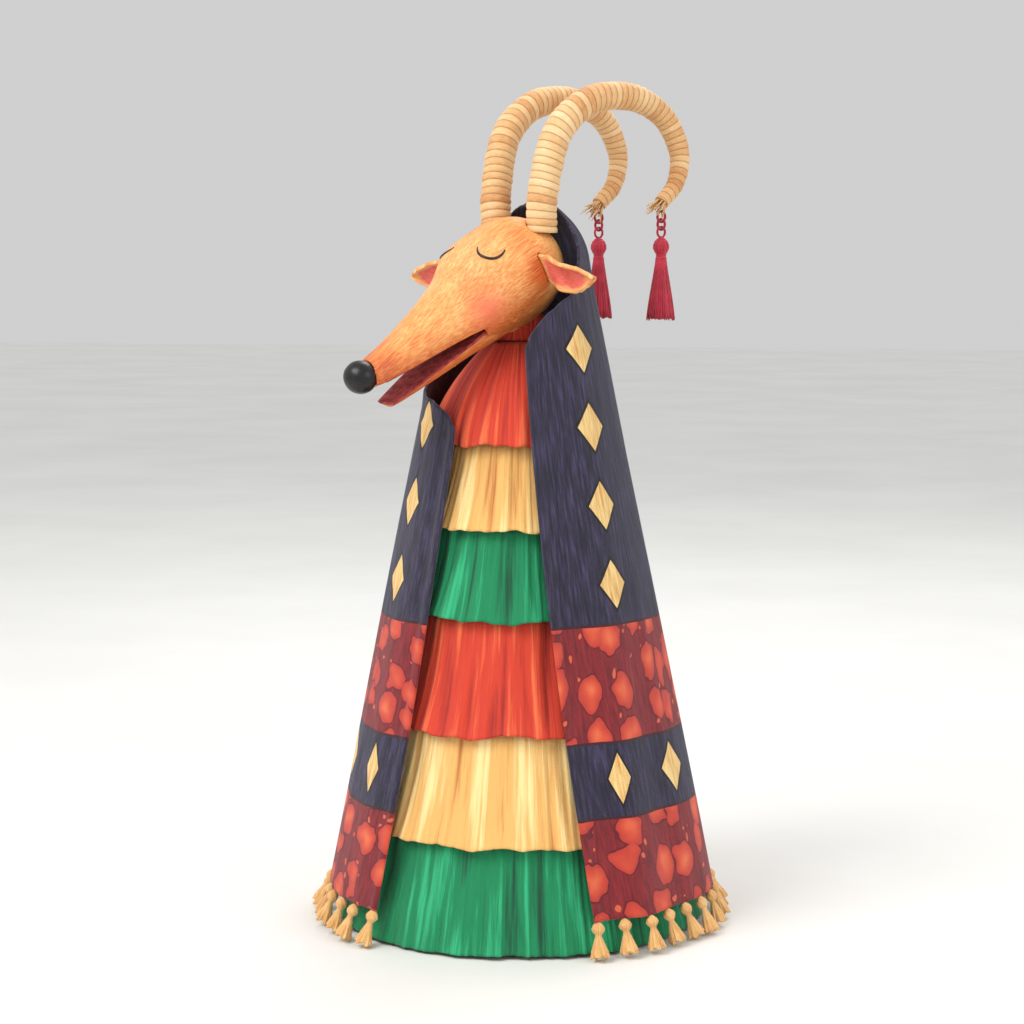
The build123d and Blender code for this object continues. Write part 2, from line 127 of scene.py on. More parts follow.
class Build:
    """Collects patches of quads, in millimetres, for one object."""

    def __init__(self):
        self.verts, self.faces, self.corners = [], [], []

    def grid(self, rows, cols, place, uv, closed):
        base = len(self.verts)
        width = cols if closed else cols + 1
        for i in range(rows + 1):
            for j in range(width):
                self.verts.append(place(i, j))
        for i in range(rows):
            for j in range(cols):
                k = (j + 1) % width
                a, b = base + i * width, base + (i + 1) * width
                self.faces.append((a + j, a + k, b + k, b + j))
                self.corners += [uv(i, j), uv(i, j + 1), uv(i + 1, j + 1), uv(i + 1, j)]
        return base, width

    def cap(self, base, width, row, flip):
        ring = [base + row * width + j for j in range(width)]
        centre = sum((self.verts[i] for i in ring), Vector()) / width
        self.verts.append(centre)
        tip = len(self.verts) - 1
        for a, b in zip(ring, ring[1:] + ring[:1]):
            self.faces.append((b, a, tip) if flip else (a, b, tip))
            self.corners += [(0.0, 0.0)] * 3

    def make(self, name):
        return add_object(name, self.verts, self.faces, self.corners)


def catmull(points, per_span):
    """Smooth run of points through the given ones."""
    out = []
    padded = [points[0] * 2 - points[1], *points, points[-1] * 2 - points[-2]]
    for a, b, c, d in zip(padded, padded[1:], padded[2:], padded[3:]):
        for i in range(per_span):
            t = i / per_span
            out.append(0.5 * (2 * b + (c - a) * t + (2 * a - 5 * b + 4 * c - d) * t * t
                              + (3 * b - a - 3 * c + d) * t * t * t))
    return out + [points[-1].copy()]


def even(points, count):
    """The same line in count equal steps."""
    lengths = [0.0]
    for a, b in zip(points, points[1:]):
        lengths.append(lengths[-1] + (b - a).length)
    out, k = [], 0
    for i in range(count + 1):
        want = lengths[-1] * i / count
        while k < len(points) - 2 and lengths[k + 1] < want:
            k += 1
        span = lengths[k + 1] - lengths[k]
        out.append(points[k].lerp(points[k + 1], (want - lengths[k]) / span))
    return out, lengths[-1]


def frames_along(points, side):
    """(centre, side, other) at each point, turning as little as it can."""
    found = []
    for i, p in enumerate(points):
        run = (points[min(i + 1, len(points) - 1)] - points[max(i - 1, 0)]).normalized()
        side = (side - run * side.dot(run)).normalized()
        found.append((p, side, run.cross(side)))
    return found


def sweep(build, points, radius, segs, uv=None, side=UP, caps=True):
    """A tube along points; radius(row, angle) in millimetres."""
    rows = len(points) - 1
    where = frames_along(points, side)

    def place(i, j):
        centre, a, b = where[i]
        angle = 2 * math.pi * j / segs
        return centre + (a * math.cos(angle) + b * math.sin(angle)) * radius(i, angle)

    base, width = build.grid(rows, segs, place, uv or (lambda i, j: (j / segs, i / 10)), True)
    if caps:
        build.cap(base, width, 0, True)
        build.cap(base, width, rows, False)


def baked(ob):
    """Applies every modifier."""
    graph = bpy.context.evaluated_depsgraph_get()
    mesh = bpy.data.meshes.new_from_object(ob.evaluated_get(graph))
    ob.modifiers.clear()
    ob.data = mesh
    mesh.polygons.foreach_set("use_smooth", [True] * len(mesh.polygons))
    return ob


def rounded_copy(node, name, voxel, rounds, plugs=()):
    """A copy of a CAD node's mesh with softened edges. Each plug is (end, end, radius) of a filled hole."""
    mesh = nodes[node].data.copy()
    mesh.name = name
    mesh.materials.clear()
    joined = bmesh.new()
    joined.from_mesh(mesh)
    for a, b, radius in plugs:
        place = Matrix.Translation((a + b) / 2 * MM) @ (b - a).to_track_quat("Z", "Y").to_matrix().to_4x4()
        bmesh.ops.create_cone(joined, cap_ends=True, segments=24, radius1=radius * MM, radius2=radius * MM,
                              depth=(b - a).length * MM, matrix=place)
    joined.to_mesh(mesh)
    joined.free()
    ob = bpy.data.objects.new(name, mesh)
    bpy.context.scene.collection.objects.link(ob)
    remesh = ob.modifiers.new("remesh", "REMESH")
    remesh.mode = "VOXEL"
    remesh.voxel_size = voxel * MM
    soft = ob.modifiers.new("soften", "SMOOTH")
    soft.iterations = rounds
    soft.factor = 0.5
    return baked(ob)


def thicken(ob, millimetres, offset=-1.0):
    solid = ob.modifiers.new("thickness", "SOLIDIFY")
    solid.thickness = millimetres * MM
    solid.offset = offset
    solid.use_even_offset = False
    return baked(ob)


# ---- materials ----
def tint(red, green, blue):
    """A colour from its display values, 0 to 255."""
    def linear(c):
        c /= 255
        return c / 12.92 if c <= 0.04045 else ((c + 0.055) / 1.055) ** 2.4
    return (linear(red), linear(green), linear(blue), 1.0)


class Look:
    """A procedural material."""

    def __init__(self, name, roughness, **shader):
        self.material = bpy.data.materials.new(name)
        self.material.use_nodes = True
        self.tree = self.material.node_tree
        self.shader = self.tree.nodes["Principled BSDF"]
        self.shader.inputs["Roughness"].default_value = roughness
        for socket, value in shader.items():
            self.shader.inputs[socket.replace("_", " ")].default_value = value

    def node(self, kind, inputs=(), **settings):
        made = self.tree.nodes.new(kind)
        for key, value in settings.items():
            setattr(made, key, value)
        for key, value in dict(inputs).items():
            if isinstance(value, bpy.types.NodeSocket):
                self.tree.links.new(value, made.inputs[key])
            else:
                made.inputs[key].default_value = value
        return made

    def place(self, kind="UV", scale=(1, 1, 1)):
        source = self.node("ShaderNodeTexCoord").outputs[kind]
        return self.node("ShaderNodeMapping", {"Vector": source, "Scale": scale}).outputs["Vector"]

    def math(self, operation, a, b=0.0):
        return self.node("ShaderNodeMath", {0: a, 1: b}, operation=operation).outputs[0]

    def noise(self, where, scale, detail=3.0, roughness=0.55):
        settings = {"Vector": where, "Scale": scale, "Detail": detail, "Roughness": roughness}
        return self.node("ShaderNodeTexNoise", settings).outputs[0]

    def cells(self, where, scale, randomness):
        """Distance to the nearest of scattered centres."""
        settings = {"Vector": where, "Scale": scale, "Randomness": randomness}
        return self.node("ShaderNodeTexVoronoi", settings).outputs["Distance"]

    def weave(self, scale, distortion):
        """Fine threads along both ways of the UVs."""
        settings = {"Vector": self.place(), "Scale": scale, "Distortion": distortion}
        waves = [self.node("ShaderNodeTexWave", settings, bands_direction=way).outputs[1] for way in "XY"]
        return self.math("MULTIPLY", *waves)

    def ramp(self, value, stops):
        made = self.node("ShaderNodeValToRGB", {"Fac": value})
        line = made.color_ramp
        while len(line.elements) < len(stops):
            line.elements.new(0.5)
        for element, (at, colour) in zip(line.elements, stops):
            element.position = at
            element.color = colour if isinstance(colour, tuple) else (colour, colour, colour, 1)
        return made.outputs[0]

    def blend(self, amount, a, b, kind="Color"):
        """Between a and b, which are colours, or vectors if kind is Vector."""
        made = self.node("ShaderNodeMix", data_type={"Color": "RGBA", "Vector": "VECTOR"}[kind])
        for socket, value in (("Factor_Float", amount), (f"A_{kind}", a), (f"B_{kind}", b)):
            target = next(s for s in made.inputs if s.identifier == socket)
            if isinstance(value, bpy.types.NodeSocket):
                self.tree.links.new(value, target)
            else:
                target.default_value = value
        return next(s for s in made.outputs if s.identifier == f"Result_{kind}")

    def part(self, vector, axis):
        return self.node("ShaderNodeSeparateXYZ", {0: vector}).outputs[axis]

    def attribute(self, name, output="Fac"):
        return self.node("ShaderNodeAttribute", attribute_name=name).outputs[output]

    def finish(self, colour, height=None, depth=0.0, roughness=None):
        """colour, then a bump of depth millimetres."""
        self.tree.links.new(colour, self.shader.inputs["Base Color"])
        if roughness is not None:
            self.tree.links.new(roughness, self.shader.inputs["Roughness"])
        if height is not None:
            bump = self.node("ShaderNodeBump", {"Height": height, "Distance": depth * MM, "Strength": 1.0})
            self.tree.links.new(bump.outputs[0], self.shader.inputs["Normal"])
        return self.material


def cloth_look(name, deep, main, light, grain):
    """Crinkled gauze, streaked along its fall, with painted shade in the pleats' hollows and a painted
    highlight on their crests. UVs are in metres, across and down.
    """
    look = Look(name, 0.82, Sheen_Weight=0.12, Sheen_Roughness=0.5)
    streak = look.noise(look.place(scale=(1, 0.045, 1)), 300.0, 3.0, 0.7)
    wide = look.noise(look.place(scale=(1, 0.12, 1)), 62.0, 3.0, 0.55)
    both = look.math("ADD", look.math("MULTIPLY", streak, 0.62), look.math("MULTIPLY", wide, 0.38))
    # painted shade and highlight: the fold attribute darkens the pleats' hollows and lightens their crests
    fold = look.attribute("fold")
    both = look.math("ADD", look.math("MULTIPLY", both, 0.7), look.math("MULTIPLY", fold, 0.3))
    colour = look.ramp(both, [(0.36, deep), (0.475, main), (0.54, main), (0.63, light)])
    weave = look.weave(420.0, 1.2)
    colour = look.blend(look.math("MULTIPLY", weave, grain), colour, light)
    height = look.math("ADD", streak, look.math("MULTIPLY", weave, 0.12))
    return look.finish(colour, height, 0.9)


RED = cloth_look("red_gauze", tint(150, 26, 22), tint(206, 56, 32), tint(238, 108, 62), 0.10)
CREAM = cloth_look("cream_gauze", tint(186, 108, 48), tint(232, 176, 98), tint(250, 219, 150), 0.15)
GREEN = cloth_look("green_gauze", tint(0, 66, 44), tint(0, 126, 76), tint(42, 172, 116), 0.10)


def diamond(look, x, y, half_width, half_height):
    """Distance into a diamond: 1 at its centre, 0 on its edge."""
    across = look.math("DIVIDE", look.math("ABSOLUTE", x), half_width)
    down = look.math("DIVIDE", look.math("ABSOLUTE", y), half_height)
    return look.math("SUBTRACT", 1.0, look.math("ADD", across, down))


def gate(look, value, low, high):
    """1 where low < value < high."""
    return look.math("MULTIPLY", look.math("GREATER_THAN", value, low), look.math("LESS_THAN", value, high))


# The shawl's pattern: heights and half sizes in millimetres, places round it in degrees from the front.
HEM_BAND_TOP, DARK_BAND_TOP, BLOB_BAND_TOP, COLUMNS_TOP = 76.0, 117.0, 181.0, 352.0
COLUMN_FIRST, COLUMN_STEP = 55.0, 62.5
ROW_FIRST, ROW_STEP = 203.0, 44.0
LOW_FIRST, LOW_STEP, LOW_ROW = 46.0, 26.8, 97.0
DIAMOND_HALF_WIDTH, TALL_HALF, LOW_HALF = 9.5, 13.5, 14.0
BARE_FRONT = 20.0          # no diamond stands nearer the front than this
BLOB_EDGE, BLOB_SKIN = 0.43, 0.395


def nearest(look, value, first, step):
    """Signed distance to the nearest of first, first + step and so on."""
    shifted = look.math("ADD", value, 2.5 * step - first)
    return look.math("SUBTRACT", look.math("MODULO", shifted, step), step / 2)


def shawl_look():
    """Dark weave with cream diamonds, and two bands of blobs. The spot attribute holds each point's
    degrees from the front, its height, and the millimetres to a degree there."""
    look = Look("shawl_weave", 0.88, Sheen_Weight=0.15, Sheen_Roughness=0.5)
    spot = look.attribute("spot", "Vector")
    degrees, height, run = look.part(spot, 0), look.part(spot, 1), look.part(spot, 2)
    away = look.math("ABSOLUTE", degrees)
    fibre = look.noise(look.place("UV", (1, 0.1, 1)), 420.0, 3.0, 0.6)
    dark = look.ramp(fibre, [(0.3, tint(16, 13, 24)), (0.5, tint(38, 32, 56)), (0.72, tint(72, 62, 98))])
    cream = look.ramp(fibre, [(0.3, tint(214, 150, 70)), (0.6, tint(244, 210, 140))])
    # columns of diamonds above the blob band
    reach = look.math("MULTIPLY", nearest(look, away, COLUMN_FIRST, COLUMN_STEP), run)
    step = nearest(look, height, ROW_FIRST, ROW_STEP)
    tall = diamond(look, reach, step, DIAMOND_HALF_WIDTH, TALL_HALF)
    beside = gate(look, away, BARE_FRONT, 181.0)
    above = gate(look, height, BLOB_BAND_TOP + 3, COLUMNS_TOP)
    tall = look.math("MULTIPLY", look.math("ADD", tall, 1.0), look.math("MULTIPLY", above, beside))
    # one row of diamonds in the lower dark band, the first of them narrower
    low_reach = look.math("MULTIPLY", nearest(look, away, LOW_FIRST, LOW_STEP), run)
    narrow = look.math("ADD", 1.0, look.math("MULTIPLY", gate(look, away, BARE_FRONT, 59.0), 0.45))
    low_rise = look.math("SUBTRACT", height, LOW_ROW)
    low = diamond(look, look.math("MULTIPLY", low_reach, narrow), low_rise, DIAMOND_HALF_WIDTH, LOW_HALF)
    in_band = gate(look, height, HEM_BAND_TOP + 1, DARK_BAND_TOP - 1)
    low = look.math("MULTIPLY", look.math("ADD", low, 1.0), in_band)
    shape = look.math("MAXIMUM", tall, low)
    colour = look.blend(gate(look, shape, 0.8, 9.0), dark, tint(8, 6, 12))
    colour = look.blend(gate(look, shape, 1.0, 9.0), colour, cream)
    # blob bands
    plain = look.place("UV", (1, 0.82, 1))
    shift = look.node("ShaderNodeTexNoise", {"Vector": plain, "Scale": 75.0, "Detail": 1.0}).outputs[1]
    bent = look.blend(0.012, plain, shift, "Vector")
    near = look.cells(bent, 41.0, 0.6)
    small = look.cells(bent, 95.0, 1.0)
    wine = look.ramp(fibre, [(0.3, tint(96, 16, 26)), (0.6, tint(140, 30, 36)), (0.8, tint(160, 44, 44))])
    petal = look.ramp(near, [(0.0, tint(232, 116, 70)), (0.22, tint(214, 78, 50)), (0.4, tint(186, 50, 42))])
    band = look.blend(gate(look, small, -1.0, 0.17), wine, tint(214, 96, 62))
    band = look.blend(gate(look, near, -1.0, BLOB_EDGE), band, tint(104, 14, 24))
    band = look.blend(gate(look, near, -1.0, BLOB_SKIN), band, petal)
    upper_blobs = gate(look, height, DARK_BAND_TOP, BLOB_BAND_TOP)
    blobs = look.math("MAXIMUM", upper_blobs, gate(look, height, -9.0, HEM_BAND_TOP))
    colour = look.blend(blobs, colour, band)
    for top in (HEM_BAND_TOP, DARK_BAND_TOP, BLOB_BAND_TOP):
        colour = look.blend(gate(look, height, top - 1.0, top + 0.5), colour, tint(60, 14, 24))
    weave = look.weave(330.0, 0.8)
    bump = look.math("ADD", look.math("MULTIPLY", fibre, 0.6), look.math("MULTIPLY", weave, 0.5))
    return look.finish(colour, bump, 0.5)


def wood_look(name, deep, main, light, scale=1.0, roughness=0.5):
    """Turned or carved wood with grain along Z."""
    look = Look(name, roughness)
    grain = look.noise(look.place("Object", (60 * scale, 60 * scale, 3 * scale)), 6.0, 5.0, 0.6)
    where = look.place("Object", (1, 1, 0.1))
    settings = {"Vector": where, "Scale": 55.0 * scale, "Distortion": 7.0, "Detail": 3.0}
    rings = look.node("ShaderNodeTexWave", settings, wave_type="RINGS").outputs[1]
    both = look.math("ADD", look.math("MULTIPLY", grain, 0.6), look.math("MULTIPLY", rings, 0.4))
    return look.finish(look.ramp(both, [(0.25, deep), (0.5, main), (0.8, light)]), both, 0.2)


def head_look():
    """Carved and painted wood: brush strokes along the muzzle, with painted shade in a darker, warmer orange
    towards the mouth and the tip, under the muzzle and on the cheek sides.
    """
    look = Look("carved_wood", 0.55, Coat_Weight=0.08, Coat_Roughness=0.35)
    local = look.attribute("local", "Vector")
    stretched = look.node("ShaderNodeMapping", {"Vector": local, "Scale": (0.07, 1, 1)}).outputs[0]
    stroke = look.noise(stretched, 1.1, 4.0, 0.62)
    squeezed = look.node("ShaderNodeMapping", {"Vector": local, "Scale": (0.35, 1, 1)}).outputs[0]
    broad = look.noise(squeezed, 0.1, 2.0, 0.5)
    both = look.math("ADD", look.math("MULTIPLY", stroke, 0.75), look.math("MULTIPLY", broad, 0.3))
    # painted shade: the strokes turn darker and more orange under the muzzle, along the mouth, at the tip
    # and on the cheek sides
    both = look.math("SUBTRACT", both, look.math("MULTIPLY", look.attribute("painted_shade"), 0.3))
    stops = [(0.16, tint(184, 76, 32)), (0.33, tint(216, 116, 54)), (0.48, tint(232, 152, 80))]
    stops += [(0.62, tint(243, 186, 116)), (0.78, tint(250, 208, 146))]
    colour = look.ramp(both, stops)
    strength = look.math("ADD", 0.35, look.math("MULTIPLY", stroke, 0.8))
    blush = look.math("MULTIPLY", look.attribute("blush"), strength)
    colour = look.blend(blush, colour, tint(232, 84, 66))
    return look.finish(colour, stroke, 0.55)


HEAD = head_look()


def straw_look():
    """Wound straw: one turn per unit of V, with fibres along each turn and painted shade in the groove
    between turns.
    """
    look = Look("straw", 0.6, Sheen_Weight=0.08)
    uv = look.place("UV")
    turn_at = look.part(uv, 1)
    whole = look.math("FLOOR", turn_at)
    each = look.node("ShaderNodeTexWhiteNoise", {"W": whole}, noise_dimensions="1D").outputs[0]
    within = look.math("FRACT", turn_at)
    fibre = look.noise(look.place("UV", (6, 5.5, 1)), 3.0, 4.0, 0.65)
    patch = look.noise(look.place("Object"), 38.0, 2.0, 0.5)
    tone = look.math("ADD", look.math("MULTIPLY", fibre, 0.52), look.math("MULTIPLY", patch, 0.36))
    tone = look.math("ADD", look.math("MULTIPLY", each, 0.16), tone)
    colour = look.ramp(tone, [(0.3, tint(176, 104, 54)), (0.44, tint(214, 156, 96)),
                              (0.55, tint(232, 188, 130)), (0.72, tint(246, 216, 168))])
    # painted shade: darker brown where one straw turn meets the next
    groove_shade = look.math("ABSOLUTE", look.math("SUBTRACT", within, 0.5))
    colour = look.blend(look.ramp(groove_shade, [(0.36, 0.0), (0.5, 0.7)]), colour, tint(140, 76, 34))
    return look.finish(colour, fibre, 0.35)


def thread_look(name, deep, main, light, roughness=0.6):
    """Twisted thread, drawn along V."""
    look = Look(name, roughness, Sheen_Weight=0.2, Sheen_Roughness=0.4)
    strand = look.noise(look.place("UV", (26, 0.25, 1)), 3.0, 3.0, 0.6)
    patch = look.noise(look.place("Object"), 160.0, 2.0, 0.5)
    both = look.math("ADD", look.math("MULTIPLY", strand, 0.75), look.math("MULTIPLY", patch, 0.25))
    return look.finish(look.ramp(both, [(0.3, deep), (0.5, main), (0.7, light)]), strand, 0.35)


STRAW = straw_look()
TASSEL = thread_look("tassel_thread", tint(112, 6, 26), tint(186, 24, 52), tint(228, 66, 86))
FRINGE = thread_look("fringe_yarn", tint(176, 112, 56), tint(230, 176, 108), tint(248, 212, 152), 0.8)


def ear_look():
    """Tan outside, and pink where the inside attribute is 1."""
    look = Look("ear_leather", 0.6)
    stroke = look.noise(look.place("UV", (26, 2.2, 1)), 4.0, 3.0, 0.6)
    tans = [(0.3, tint(206, 118, 60)), (0.5, tint(238, 168, 100)), (0.7, tint(250, 206, 146))]
    pinks = [(0.3, tint(196, 58, 56)), (0.5, tint(226, 98, 86)), (0.7, tint(240, 146, 120))]
    colour = look.blend(look.attribute("inside"), look.ramp(stroke, tans), look.ramp(stroke, pinks))
    return look.finish(colour, stroke, 0.3)


def plain_look(name, deep, main, scale, roughness, depth=0.1, **shader):
    """A fine mottled surface."""
    look = Look(name, roughness, **shader)
    speckle = look.noise(look.place("Object"), scale, 4.0, 0.6)
    return look.finish(look.ramp(speckle, [(0.35, deep), (0.65, main)]), speckle, depth)


TURNED = wood_look("turned_wood", tint(150, 100, 60), tint(196, 148, 98), tint(222, 184, 134))
WILLOW = wood_look("willow", tint(134, 98, 56), tint(178, 140, 88), tint(206, 172, 120), 2.0, 0.6)
MOUTH = plain_look("mouth_cloth", tint(132, 34, 38), tint(188, 78, 74), 260.0, 0.85, 0.25)
NOSE = plain_look("nose_black", tint(8, 7, 8), tint(30, 26, 26), 240.0, 0.38, 0.12,
                  Specular_IOR_Level=0.35, Coat_Weight=0.08, Coat_Roughness=0.15)
INK = plain_look("eye_line", tint(12, 8, 8), tint(34, 24, 22), 300.0, 0.45)
STEEL = plain_look("screw_steel", tint(120, 120, 124), tint(176, 176, 180), 300.0, 0.35, 0.05, Metallic=1.0)
WIRE = plain_look("pin_wire", tint(96, 92, 88), tint(150, 146, 140), 400.0, 0.4, 0.05, Metallic=1.0)
EAR = ear_look()


def paint(ob, material):
    ob.data.materials.clear()
    ob.data.materials.append(material)


def point_values(ob, name, values):
    data = ob.data.attributes.new(name, "FLOAT", "POINT").data
    data.foreach_set("value", values)


def point_vectors(ob, name, vectors):
    data = ob.data.attributes.new(name, "FLOAT_VECTOR", "POINT").data
    data.foreach_set("vector", [c for v in vectors for c in v])


# ---- cloth body ----
def cape_radius(z):
    return CAPE_TOP_R + (CAPE_TOP_Z - z) / (CAPE_TOP_Z - CAPE_HEM_Z) * (CAPE_HEM_R - CAPE_TOP_R)


def around(degrees, radius, z):
    """A point by its angle from the front (-Y), positive towards +X."""
    a = math.radians(degrees)
    return Vector((math.sin(a) * radius, -math.cos(a) * radius, z))


def from_front(degrees):
    return abs((degrees + 180) % 360 - 180)


def ripple(degrees, size, seed, radius=100.0, drift=0.0):
    """Smooth uneven folds about size mm wide, -1 to 1, closed round the body."""
    a = math.radians(degrees)
    return noise.noise(Vector((math.cos(a) * radius / size, math.sin(a) * radius / size, seed + drift)))


GATHER_DROP = 14.0         # a tier's tied top covers this height
TOP_INSET, FALL_INSET, HEM_INSET = 23.0, 11.0, 4.5     # how far inside the shawl a tier's cloth runs
NECK_SLEEVE_LOW, NECK_SLEEVE_HIGH = 338.8, 354.0
LOWEST_CLOTH = 0.9


def tier_cloth(index):
    name, hem = TIER_NAMES[index], TIER_HEMS[index]
    last = index == len(TIER_HEMS) - 1
    top = NECK_Z + 3 if index == 0 else TIER_HEMS[index - 1] + 10
    rows, cols = (44 if top - hem > 60 else 34), 760
    seed = 10.0 * index
    wide = cape_radius(hem)

    def line(s):
        """Radius down the tier before its pleats."""
        z = mix(top, hem, s)
        if index == 0:
            return mix(18.5, wide - HEM_INSET, s) + 6.0 * math.sin(math.pi * s) ** 0.8
        fall = GATHER_DROP / (top - hem)
        shoulder = cape_radius(top - GATHER_DROP) - FALL_INSET
        if s < fall:
            return mix(cape_radius(top) - TOP_INSET, shoulder, math.sin(math.pi / 2 * s / fall))
        share = (s - fall) / (1 - fall)
        flare = 2.0 * max(0.0, (share - 0.6) / 0.4) ** 2 if last else 0.0
        low = cape_radius(max(z, CAPE_HEM_Z)) - HEM_INSET
        return mix(shoulder, low, share) + 1.2 * math.sin(math.pi * share) + flare

    def fold(degrees, s):
        z = mix(top, hem, s)
        broad = ripple(degrees, 8.5, seed, wide, s * 0.9)
        fine = ripple(degrees, 3.6, seed + 3, wide, z * 0.012)
        crest = 1 - 2 * abs(ripple(degrees, 6.0, seed + 5, wide, s * 0.6))
        return 0.9 * broad + 0.45 * fine + 0.35 * crest

    values = []

    def place(i, j):
        s = i / rows
        degrees = 360.0 * j / cols
        hidden = smooth((from_front(degrees) - 42) / 16)
        f = fold(degrees, s)
        depth = mix(1.1, 2.6, s) * (1 - 0.6 * hidden)
        lift = ripple(degrees, 24.0, seed + 7, wide) * 3.2 + ripple(degrees, 9.0, seed + 8, wide) * 1.6
        lift *= smooth((s - 0.5) / 0.5) * (0.3 if last else 1.0)
        # how far out the pleat stands here, kept for the painted shade in hollows and painted highlight on
        # crests
        values.append(min(max(0.5 + 0.5 * f, 0.0), 1.0))
        z = mix(top, hem, s) + lift * (1 - 0.5 * hidden)
        return around(degrees, line(s) + depth * f - 0.8 * hidden, max(z, LOWEST_CLOTH))

    round_hem = 2 * math.pi * wide * MM
    drop = (top - hem) * MM
    build = Build()
    build.grid(rows, cols, place, lambda i, j: (round_hem * j / cols, drop * (1 - i / rows)), True)
    ob = build.make(name + "_cloth")
    point_values(ob, "fold", values)
    thicken(ob, 0.7, 0.0)
    paint(ob, [RED, CREAM, GREEN][index % 3])
    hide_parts(name)
    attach(ob, "stand")


for tier_number in range(len(TIER_HEMS)):
    tier_cloth(tier_number)


def neck_sleeve():
    """Red cloth tied round the carved neck, turning with the head."""
    rows, cols = 16, 220
    values = []

    def place(i, j):
        s, degrees = i / rows, 360.0 * j / cols
        f = ripple(degrees, 4.2, 91.0, 40.0, s * 0.5)
        # how far out the pleat stands here, kept for the painted shade in hollows and painted highlight on
        # crests
        values.append(min(max(0.5 + 0.5 * f, 0.0), 1.0))
        out = mix(13.6, 14.2, s) + 0.55 * f + 1.6 * smooth((0.35 - s) / 0.35)
        return around(degrees, out, mix(NECK_SLEEVE_LOW, NECK_SLEEVE_HIGH, s))

    build = Build()
    build.grid(rows, cols, place, lambda i, j: (0.09 * j / cols, 0.015 * i / rows), True)
    ob = build.make("neck_sleeve")
    point_values(ob, "fold", values)
    thicken(ob, 0.7, 0.0)
    paint(ob, RED)
    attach(ob, "head")


neck_sleeve()


# ---- shawl ----
def meridian(t):
    """(radius, height) of the shawl at t: its height up to the hood's widest place, then the way over
    the dome."""
    if t <= HOOD_Z:
        return cape_radius(t), t
    turn = min((t - HOOD_Z) / HOOD_R, math.pi / 2)
    return HOOD_R * math.cos(turn), HOOD_Z + HOOD_R * math.sin(turn)


def eased_meridian(t):
    samples = [meridian(t + step) for step in (-7, -3.5, 0, 3.5, 7)]
    return sum(r for r, _ in samples) / 5, sum(z for _, z in samples) / 5


RIM_AHEAD = -11.0          # the hood's rim stands this far ahead of the pole, behind the horns


def rim(behind):
    """The hood's rim at this many degrees from the head's forward direction."""
    turn = math.acos(min(1.0, RIM_AHEAD / HOOD_R / math.cos(math.radians(behind))))
    return HOOD_Z + HOOD_R * turn


turned = math.degrees(HEAD_TURN)
# Upper edge of the shawl as (degrees from the front, way up), from the goat's right edge round the
# back to its left edge.
UPPER_EDGE = [(-27.0, 290.0), (-36.0, 299.0), (-52.0, 305.0), (-76.0, 309.0)]
UPPER_EDGE += [(-95.0, 325.0), (-116.0, 353.0), (-138.0, 372.0)]
UPPER_EDGE += [(turned - behind, rim(behind)) for behind in range(112, 249, 4)]
UPPER_EDGE += [(-300.0, 372.0), (-316.0, 362.0), (-330.0, 354.0), (-340.0, 345.0), (-345.0, 336.0)]
LOWER_EDGE = (-33.0, -327.0)
CAPE_OUT = 1.9             # the cloth's middle lies this far outside the cape's line


def swing(degrees, z, size):
    """The shawl's slow folds, size mm deep, and its finer ones."""
    slow = ripple(degrees, 30.0, 41.0, 100.0, z * 0.0025) * size
    return slow + ripple(degrees, 12.0, 43.0, 100.0, z * 0.006) * 0.9


def shawl_cloth():
    rows, cols = 150, 330
    edge, _ = even(catmull([Vector((a, t, 0)) for a, t in UPPER_EDGE], 6), cols)
    spots = []

    def place(i, j):
        s, u = i / rows, j / cols
        degrees = mix(mix(*LOWER_EDGE, u), edge[j].x, s)
        t = mix(CAPE_HEM_Z, edge[j].y, s)
        r, z = eased_meridian(t)
        low = 1 - smooth((z - 60) / 260)
        border = min(j, cols - j) * (6.2 * r / 360.0) * 0.85
        out = CAPE_OUT + max(swing(degrees, z, mix(1.2, 4.2, low)), -0.9)
        out += 1.3 * math.exp(-((border - 2.0) / 2.2) ** 2)
        near_rim = max(0.0, 1 - (1 - s) * (edge[j].y - CAPE_HEM_Z) / 9.0)
        out += 0.9 * near_rim
        spots.append((from_front(degrees), z, r * math.pi / 180))
        point = around(degrees, r + out * (1 if z < HOOD_Z else 0.0), z)
        if z >= HOOD_Z:
            run = Vector((point.x, point.y, z - HOOD_Z))
            point = Vector((0, 0, HOOD_Z)) + run.normalized() * (run.length + out)
        return point

    build = Build()
    build.grid(rows, cols, place, lambda i, j: (0.6 * j / cols, 0.4 * i / rows), False)
    ob = build.make("shawl_cloth")
    point_vectors(ob, "spot", spots)
    thicken(ob, 1.6, 0.0)
    paint(ob, shawl_look())
    return ob


def hem_radius(degrees):
    return CAPE_HEM_R + CAPE_OUT + max(swing(degrees, CAPE_HEM_Z, 4.2), -0.9)


